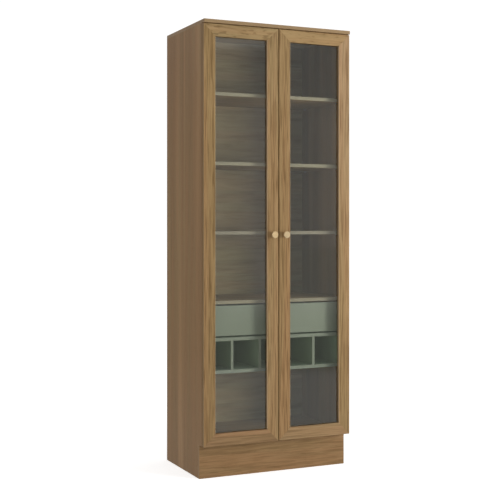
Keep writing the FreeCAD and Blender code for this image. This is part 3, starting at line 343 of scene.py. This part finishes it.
def rubber(name):
    t = Tree(name)
    n = t.noise(t.scaled(t.coord, (300.0, 300.0, 300.0)), detail=2.0)
    col = t.mix(n, (0.62, 0.64, 0.64), (0.70, 0.72, 0.71))
    return t.surface(t.principled(col, t.ramp01(n, 0.3, 0.7, 0.28, 0.40), None,
                                  Transmission_Weight=0.35, IOR=1.45))


def melamine(name, colour):
    """Drawer-box board: a pale linen-textured melamine."""
    t = Tree(name)
    weave = t.noise(t.scaled(t.coord, (700.0, 700.0, 90.0)), detail=2.0)
    weft = t.noise(t.scaled(t.coord, (90.0, 90.0, 700.0)), detail=2.0)
    both = t.mul(t.add(weave, weft), 0.5)
    col = t.bright(colour, t.ramp01(both, 0.35, 0.65, 0.95, 1.05))
    return t.surface(t.principled(col, t.ramp01(both, 0.3, 0.7, 0.42, 0.52), t.bump(both, 0.15, 0.0002),
                                  Specular_IOR_Level=0.40))


# ------------------------------------------------------------------ which node gets what


def middle(node):
    lo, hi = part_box(node)
    return tuple((lo + hi) / 2)


def dress(node, mat):
    ob = NODES[node]
    ob.data.materials.clear()
    ob.data.materials.append(mat)


def wood(node, **kw):
    kw.setdefault("centre", middle(node))
    dress(node, veneer("oak_" + node, **kw))


# the side panels are painted darker and warmer towards the top: painted shade standing in for less light up there
SIDE = dict(grain="Z", across="Y", layers=CALM, rings=0.03, spacing=0.016, leaf=0.235, pith=(0.02, 0.16),
            lean=0.02, base=0.12, tone=(0.880, 0.845, 0.775), fade=(0.10, 0.95, 1.0, 0.91),
            warm=(0.99, 0.935, 0.82))
wood("side_panel_left", seed=9.47, **SIDE)
wood("side_panel_right", seed=2.0, **SIDE)
BOARD = dict(grain="X", across="Y", layers=SOFT, rings=0.16, spacing=0.012, leaf=0.155, pith=(0.01, 0.14), lean=0.03)
wood("top_panel", seed=3.0, edge=[("Y", -1, -0.2245, TOP_EDGE), ("X", -1, -0.361, END_EDGE), ("X", 1, 0.361, END_EDGE),
                                  ("Y", 1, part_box("top_panel")[1][1], REAR_EDGE)], **BOARD)
wood("bottom_panel", seed=4.0, edge=[("Y", -1, -0.198, OAK_LIGHT)], **BOARD)
# the middle and upper shelves are painted lighter, standing in for light bounced up onto their undersides; each front
# band has its own small tint
for i, node in enumerate(("shelf_lower", "shelf_middle", "shelf_upper", "fixed_shelf")):
    band = tuple(c * k for c, k in zip(BAND, ((0.93, 0.91, 0.97), (0.98, 0.98, 0.98), (1.08, 1.07, 1.07), (0.97, 0.95, 0.96))[i]))
    wood(node, seed=5.0 + i, edge=[("Y", -1, -0.1645, band)], tone=((1.0, 1.0, 1.0), (1.04, 1.04, 1.0), (1.14, 1.14, 1.12), (1.0, 1.0, 1.0))[i],
         **BOARD)
BACK_TONE = (0.97, 1.17, 1.40)
wood("back_panel", grain="X", across="Z", layers=CLOUDY, rings=0.06, spacing=0.014, leaf=0.205, pith=(0.015, 0.15),
     lean=0.03, wave=0.35, base=0.03, seed=15.39, tone=BACK_TONE)
PLINTH = dict(grain="X", across="Z", layers=LENSES, rings=0.08, spacing=0.012, pith=(0.02, 0.11), lean=0.03, wave=0.6,
              base=0.10, tone=(0.845, 0.845, 0.885))
wood("plinth_front", seed=11.77, edge=[("X", -1, -0.361, PLINTH_END), ("X", 1, 0.361, PLINTH_END)], **PLINTH)
wood("plinth_rear", seed=12.0, **PLINTH)
FRONT_TONE = (0.975, 1.01, 1.04)
# every member of a door frame is cut from another board: its own figure and its own tone
BOARDS = {"left_hinge_stile": (28.47, (0.895, 0.890, 0.860)), "left_meeting_stile": (22.07, (0.975, 1.000, 1.025)),
          "left_top_rail": (22.10, (0.945, 1.000, 1.015)), "left_bottom_rail": (31.60, (0.920, 0.895, 0.975)),
          "right_hinge_stile": (27.77, (1.035, 1.060, 1.060)), "right_meeting_stile": (29.07, (0.955, 0.940, 0.935)),
          "right_top_rail": (31.41, (1.030, 1.030, 1.030)), "right_bottom_rail": (37.06, (0.925, 0.940, 1.020))}


def member(node, **kw):
    seed, by = BOARDS[node]
    wood(node, seed=seed, tone=tuple(c * k for c, k in zip(FRONT_TONE, by)), **kw)


for k, side in enumerate(("left", "right")):
    out, mid = (-1, 1) if side == "left" else (1, -1)
    hinge, meeting = [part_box(side + "_" + which + "_stile") for which in ("hinge", "meeting")]
    # outer and meeting edges take painted shade for the gaps; inner edges take painted light, the paler one on the
    # faces turned to the left
    hinge_edge = [("X", out, hinge[0 if out < 0 else 1][0], DOOR_EDGE_PAINTED_SHADE), ("X", mid, hinge[0 if mid < 0 else 1][0], (REVEAL_PAINTED_LIGHT, REVEAL_PAINTED_LIGHT_LEFT_FACING)[k])]
    meeting_edge = [("X", mid, meeting[0 if mid < 0 else 1][0], DOOR_EDGE_PAINTED_SHADE),
                    ("X", out, meeting[0 if out < 0 else 1][0], (REVEAL_PAINTED_LIGHT_LEFT_FACING, REVEAL_PAINTED_LIGHT)[k])]
    # the hinge stiles are painted lighter towards the top, standing in for the light from above, and the right one
    # takes a painted bluish sheen up there
    member(side + "_hinge_stile", grain="Z", across="X", spacing=0.0105, pith=(0.42, 0.22), wave=0.5, base=0.08,
           edge=hinge_edge, fade=((0.10, 0.80, 1.0, 1.10), (-0.75, 0.75, 0.94, 1.10))[k],
           warm=(None, (1.0, 1.0, 1.17))[k])
    member(side + "_meeting_stile", grain="Z", across="X", spacing=0.0105, pith=(0.36, 0.18), wave=0.5, base=0.08,
           edge=meeting_edge)
    member(side + "_top_rail", grain="X", across="Z", layers=DASHES, rings=0.22, spacing=0.0100, pith=(0.01, 0.05), lean=0.05)
    member(side + "_bottom_rail", grain="X", across="Z", layers=QUIET, rings=0.14, spacing=0.0100, pith=(0.05, 0.16),
           lean=0.02, wave=0.6, base=(0.18, 0.06)[k])
    lo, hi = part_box(side + "_glazing_beads")
    wood(side + "_glazing_beads", grain="Z", across="X", spacing=0.006, pith=(0.42, 0.22), wave=0.4, seed=24.2 + 7 * k,
         frame_of=((hi[0] - lo[0]) / 2, (hi[2] - lo[2]) / 2))
    dress(side + "_glass", clear_glass("glass_" + side))
    dress(side + "_knob", metal("brass_" + side, ((0.70, 0.51, 0.28), (0.64, 0.48, 0.28))[k], 0.36, brush="X", scale=0.8, metallic=0.6))
    dress(side + "_knob_screw", metal("knob_screw_" + side, (0.62, 0.61, 0.58), 0.30))
    dress(side + "_hinge_cups", metal("hinge_cup_" + side, (0.66, 0.65, 0.62), 0.26))
    dress(side + "_hinge_pins", metal("hinge_pin_" + side, (0.60, 0.59, 0.57), 0.22))
    dress(side + "_cup_screws", metal("cup_screw_" + side, (0.64, 0.63, 0.60), 0.28))

SAGE = (0.262, 0.274, 0.202)
for i, node in enumerate(("cubby_top", "cubby_bottom", "cubby_side_left", "cubby_side_right", "cubby_back",
                          "cubby_divider_1", "cubby_divider_2", "cubby_divider_3", "cubby_divider_4",
                          "drawer_front")):
    # the inside faces are greener; the cubby back is painted lighter and the cubby floor painted darker, standing in
    # for the light and shade inside the cubbies
    inside_painted_light = {"cubby_back": 1.20, "cubby_bottom": 0.68, "drawer_front": 1.0}.get(node, 0.95)
    inside = None if node == "drawer_front" else (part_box(node)[0][1], tuple(c * inside_painted_light * k for c, k in zip(SAGE, (1.03, 1.19, 1.05))))
    dress(node, lacquer("sage_" + node, SAGE, seed=1.7 * i, inside=inside))

box_white = melamine("drawer_box", (0.62, 0.60, 0.55))
for node in ("drawer_side_left", "drawer_side_right", "drawer_back", "drawer_bottom"):
    dress(node, box_white)
dress("drawer_runners", metal("runner_zinc", (0.55, 0.56, 0.57), 0.34, brush="Y"))
dress("drawer_slides", metal("slide_zinc", (0.60, 0.61, 0.62), 0.30, brush="Y"))
dress("hinge_arms", metal("arm_nickel", (0.66, 0.65, 0.62), 0.26, brush="Y"))
dress("hinge_plates", metal("plate_nickel", (0.63, 0.62, 0.60), 0.28, brush="Z"))
dress("hinge_plate_screws", metal("plate_screw", (0.60, 0.59, 0.57), 0.30))
dress("wall_brackets", metal("bracket_zinc", (0.56, 0.57, 0.58), 0.36, brush="X"))
dress("wall_bracket_screws", metal("bracket_screw", (0.58, 0.58, 0.57), 0.32))
dress("cam_bolts", metal("cam_bolt_zinc", (0.58, 0.57, 0.52), 0.32))
dress("cam_locks", metal("cam_lock_zinc", (0.50, 0.50, 0.50), 0.42))
dress("shelf_pins", metal("shelf_pin_nickel", (0.64, 0.63, 0.60), 0.26, brush="X"))
dress("door_bumpers", rubber("bumper_clear"))
wood("dowels", grain="X", across="Y", spacing=0.004, pith=(0.2, 0.2), seed=40.0,
     light=(0.52, 0.38, 0.22), tone=(1.1, 1.15, 1.25))

# ------------------------------------------------------------------ eased edges


def eased(node, width=0.0006, segments=2):
    ob = NODES[node]
    w = ob.modifiers.new("weld", "WELD")
    w.merge_threshold = 0.00001
    d = ob.modifiers.new("flat faces", "DECIMATE")
    d.decimate_type = "DISSOLVE"
    d.angle_limit = math.radians(0.6)
    b = ob.modifiers.new("eased edge", "BEVEL")
    b.width = width
    b.segments = segments
    b.limit_method = "ANGLE"
    b.angle_limit = math.radians(50)
    b.use_clamp_overlap = True


for node in ("side_panel_left", "side_panel_right", "top_panel", "plinth_front", "shelf_lower", "shelf_middle",
             "shelf_upper", "fixed_shelf", "drawer_front", "cubby_top", "cubby_bottom", "cubby_divider_1",
             "cubby_divider_2", "cubby_divider_3", "cubby_divider_4"):
    eased(node, 0.0006)
for side in ("left", "right"):
    for part in ("hinge_stile", "meeting_stile", "top_rail", "bottom_rail"):
        eased("%s_%s" % (side, part), 0.0004)

# ------------------------------------------------------------------ studio

FLOOR_BOUNCE = 0.12
floor_mesh = bpy.data.meshes.new("floor")
floor_mesh.from_pydata([(-40, -40, 0), (40, -40, 0), (40, 40, 0), (-40, 40, 0)], [], [(0, 1, 2, 3)])
floor = bpy.data.objects.new("floor", floor_mesh)
scene.collection.objects.link(floor)
ft = Tree("floor_paper")
paper = ft.noise(ft.scaled(ft.coord, (60.0, 60.0, 60.0)), detail=2.0)
fp = ft.principled(ft.bright((0.80, 0.80, 0.80), ft.ramp01(paper, 0.3, 0.7, 0.995, 1.005)),
                   0.9, None, Specular_IOR_Level=0.0)


def glow(nt, strength, kind="ShaderNodeEmission", colour=(1.0, 1.0, 1.0)):
    n = nt.nodes.new(kind)
    n.inputs["Color"].default_value = (*colour, 1.0)
    n.inputs["Strength"].default_value = strength
    return n.outputs[0]


def choose(nt, fac, no, yes):
    n = nt.nodes.new("ShaderNodeMixShader")
    nt.links.new(fac, n.inputs[0])
    nt.links.new(no, n.inputs[1])
    nt.links.new(yes, n.inputs[2])
    return n.outputs[0]


def both(nt, one, two):
    n = nt.nodes.new("ShaderNodeAddShader")
    nt.links.new(one, n.inputs[0])
    nt.links.new(two, n.inputs[1])
    return n.outputs[0]


# the paper is bright to the eye and throws a little extra light up; to glossy rays it shows a painted reflection for
# the panes: brighter close by, a dim greenish ring further out, and far off a brighter slanted band
path = ft.nt.nodes.new("ShaderNodeLightPath").outputs
looked_at = ft.math("MAXIMUM", path["Is Camera Ray"], path["Is Transmission Ray"])
pick = choose(ft.nt, path["Is Diffuse Ray"], fp.outputs[0], both(ft.nt, fp.outputs[0], glow(ft.nt, FLOOR_BOUNCE)))
pick = choose(ft.nt, looked_at, pick, both(ft.nt, fp.outputs[0], glow(ft.nt, 0.62)))
away = ft.nt.nodes.new("ShaderNodeVectorMath")
away.operation = "DISTANCE"
away.inputs[1].default_value = (0.0, -0.24, 0.0)
ft.nt.links.new(ft.coord, away.inputs[0])
away = away.outputs["Value"]
shown = choose(ft.nt, ft.ramp01(away, 2.9, 3.6, 1.0, 0.0), glow(ft.nt, 0.53, colour=(0.97, 1.06, 0.95)),
               glow(ft.nt, 0.88, colour=(0.985, 1.0, 1.01)))
fx, fy, _ = ft.split(ft.coord)
slant = ft.math("DIVIDE", fx, ft.math("SUBTRACT", -0.24, fy))
slant = ft.mul(ft.ramp01(slant, 0.440, 0.474), ft.ramp01(slant, 0.484, 0.500, 1.0, 0.0))
far_off = choose(ft.nt, slant, glow(ft.nt, 0.76, colour=(0.985, 1.01, 0.98)), glow(ft.nt, 0.96, colour=(1.02, 0.99, 1.0)))
shown = choose(ft.nt, ft.ramp01(away, 6.5, 10.5, 0.0, 1.0), shown, far_off)
pick = choose(ft.nt, path["Is Glossy Ray"], pick, shown)
floor_mesh.materials.append(ft.surface(pick))

world = bpy.data.worlds.new("studio")
scene.world = world
world.use_nodes = True
wt = world.node_tree
wt.nodes.clear()
wo = wt.nodes.new("ShaderNodeOutputWorld")
path = wt.nodes.new("ShaderNodeLightPath").outputs
aim = wt.nodes.new("ShaderNodeSeparateXYZ")
wt.links.new(wt.nodes.new("ShaderNodeTexCoord").outputs["Generated"], aim.inputs[0])


def ranged(nt, value, lo, hi, to_lo, to_hi, kind="SMOOTHSTEP"):
    n = nt.nodes.new("ShaderNodeMapRange")
    n.interpolation_type = kind
    nt.links.new(value, n.inputs["Value"])
    for key, v in (("From Min", lo), ("From Max", hi), ("To Min", to_lo), ("To Max", to_hi)):
        n.inputs[key].default_value = v
    return n.outputs[0]


def times(nt, one, two):
    n = nt.nodes.new("ShaderNodeMath")
    n.operation = "MULTIPLY"
    nt.links.new(one, n.inputs[0])
    nt.links.new(two, n.inputs[1])
    return n.outputs[0]


# what the panes mirror: a soft room, a little darker high up and a little lighter in two places, with a bright
# strip above that fades towards the right
SKY = "ShaderNodeBackground"
low = ranged(wt, aim.outputs["Z"], 0.100, 0.128, 1.0, 0.0)
one = times(wt, ranged(wt, aim.outputs["X"], 0.400, 0.419, 0.0, 1.0), ranged(wt, aim.outputs["X"], 0.437, 0.451, 1.0, 0.0))
two = times(wt, ranged(wt, aim.outputs["X"], 0.460, 0.491, 0.0, 1.0), ranged(wt, aim.outputs["X"], 0.500, 0.520, 1.0, 0.0))
high = ranged(wt, aim.outputs["Z"], 0.1630, 0.1690, 0.0, 1.0)
strip = times(wt, high, ranged(wt, aim.outputs["X"], 0.388, 0.478, 1.0, 0.0, "LINEAR"))
shown = choose(wt, low, glow(wt, 0.42, SKY), glow(wt, 0.54, SKY))
shown = choose(wt, times(wt, low, one), shown, glow(wt, 0.84, SKY, (1.10, 1.00, 0.965)))
shown = choose(wt, times(wt, low, two), shown, glow(wt, 0.82, SKY, (1.10, 1.00, 0.91)))
shown = choose(wt, strip, shown, glow(wt, 1.48, SKY))
seen = wt.nodes.new("ShaderNodeMath")
seen.operation = "MAXIMUM"
wt.links.new(path["Is Camera Ray"], seen.inputs[0])
wt.links.new(path["Is Transmission Ray"], seen.inputs[1])
room = choose(wt, path["Is Glossy Ray"], glow(wt, 0.58, SKY), shown)
room = choose(wt, seen.outputs[0], room, glow(wt, 1.05, SKY))
wt.links.new(room, wo.inputs["Surface"])


def softbox(name, place, target, size, power, colour=(1.0, 1.0, 1.0)):
    lamp = bpy.data.lights.new(name, "AREA")
    lamp.shape = "RECTANGLE"
    lamp.size, lamp.size_y = size
    lamp.energy = power
    lamp.color = colour
    ob = bpy.data.objects.new(name, lamp)
    scene.collection.objects.link(ob)
    ob.location = place
    ob.rotation_euler = (Vector(target) - Vector(place)).to_track_quat("-Z", "Y").to_euler()
    return ob


KEY_AZ, KEY_DIST = math.radians(39), 3.4
key = softbox("key", (KEY_DIST * math.sin(KEY_AZ), -0.24 - KEY_DIST * math.cos(KEY_AZ), 1.12), (0.0, -0.24, 1.06),
              (1.10, 1.10), 60.0)
high = softbox("high", (0.75, -1.45, 3.20), (0.15, -0.24, 1.90), (0.6, 0.6), 9.0, (0.62, 0.78, 1.0))
low_left = softbox("low_left", (-2.3, -1.1, 0.55), (-0.36, 0.0, 0.55), (1.2, 0.9), 2.0)
for lamp in (key, high, low_left):
    lamp.visible_glossy = False      # the panes mirror the plain room, not the lamps
    lamp.visible_transmission = False

cam_data = bpy.data.cameras.new("camera")
cam = bpy.data.objects.new("camera", cam_data)
scene.collection.objects.link(cam)
cam.location = (-2.0502, -4.3972, 1.1130)
cam.rotation_euler = (math.radians(90), 0.0, math.radians(-24.566))
cam_data.sensor_width = 36.0
cam_data.lens = 75.12
cam_data.shift_x = -0.0006
cam_data.shift_y = -0.0521
cam_data.dof.use_dof = False
scene.camera = cam

scene.view_settings.view_transform = "Standard"
scene.view_settings.look = "None"
scene.view_settings.exposure = 0.0
scene.view_settings.gamma = 1.0
